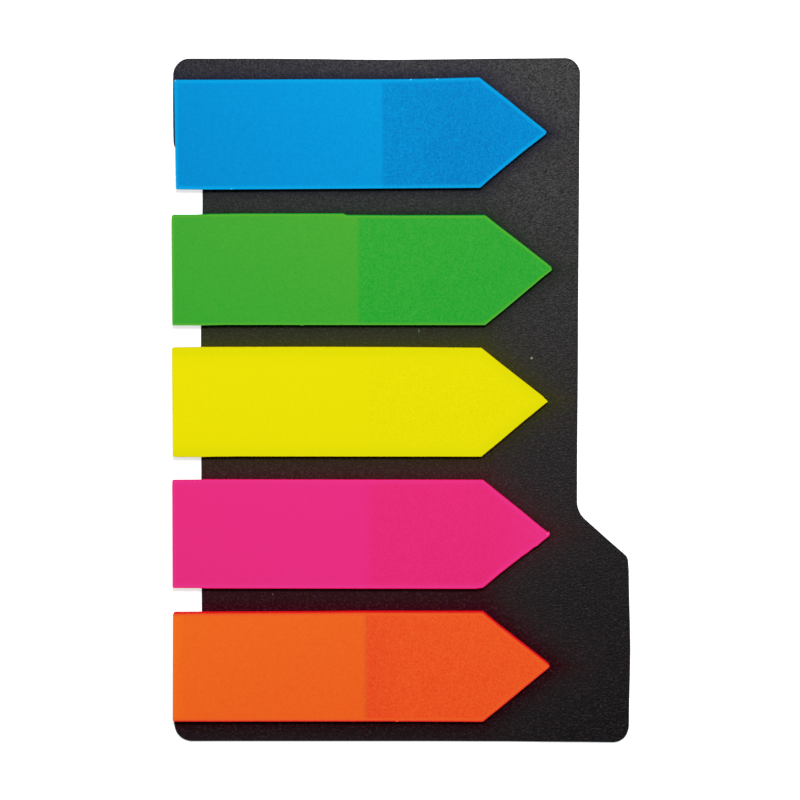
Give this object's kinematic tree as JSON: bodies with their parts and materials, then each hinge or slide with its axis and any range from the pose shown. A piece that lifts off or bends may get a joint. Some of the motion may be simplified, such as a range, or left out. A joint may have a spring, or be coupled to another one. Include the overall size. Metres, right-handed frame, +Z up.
{
  "type": "sticky index tabs on a backing card",
  "caption": "Pads of arrow-shaped film index tabs in bright colours, stuck in a column on a black die-cut card with a finger recess and a lug.",
  "frame": {"origin": "centre of the bounding box's bottom face, on the underside of the card", "axes": "+X along the tabs towards their arrow points, +Y up the card's height from the orange pad to the blue pad, +Z up out of the card's face"},
  "size_m": [0.0522, 0.078, 0.0018],
  "materials": {
    "black_card": "uncoated, through-dyed black card with short fibres showing",
    "blue_film": "satin translucent film, in a pad",
    "green_film": "satin translucent film, in a pad",
    "yellow_film": "satin translucent film, in a pad",
    "pink_film": "satin translucent film, in a pad",
    "orange_film": "satin translucent film, in a pad"
  },
  "bodies": {
    "root": {"backing_card": "black_card", "tab_pad_blue": "blue_film", "tab_pad_green": "green_film", "tab_pad_yellow": "yellow_film", "tab_pad_pink": "pink_film", "tab_pad_orange": "orange_film"}
  },
  "joints": []
}
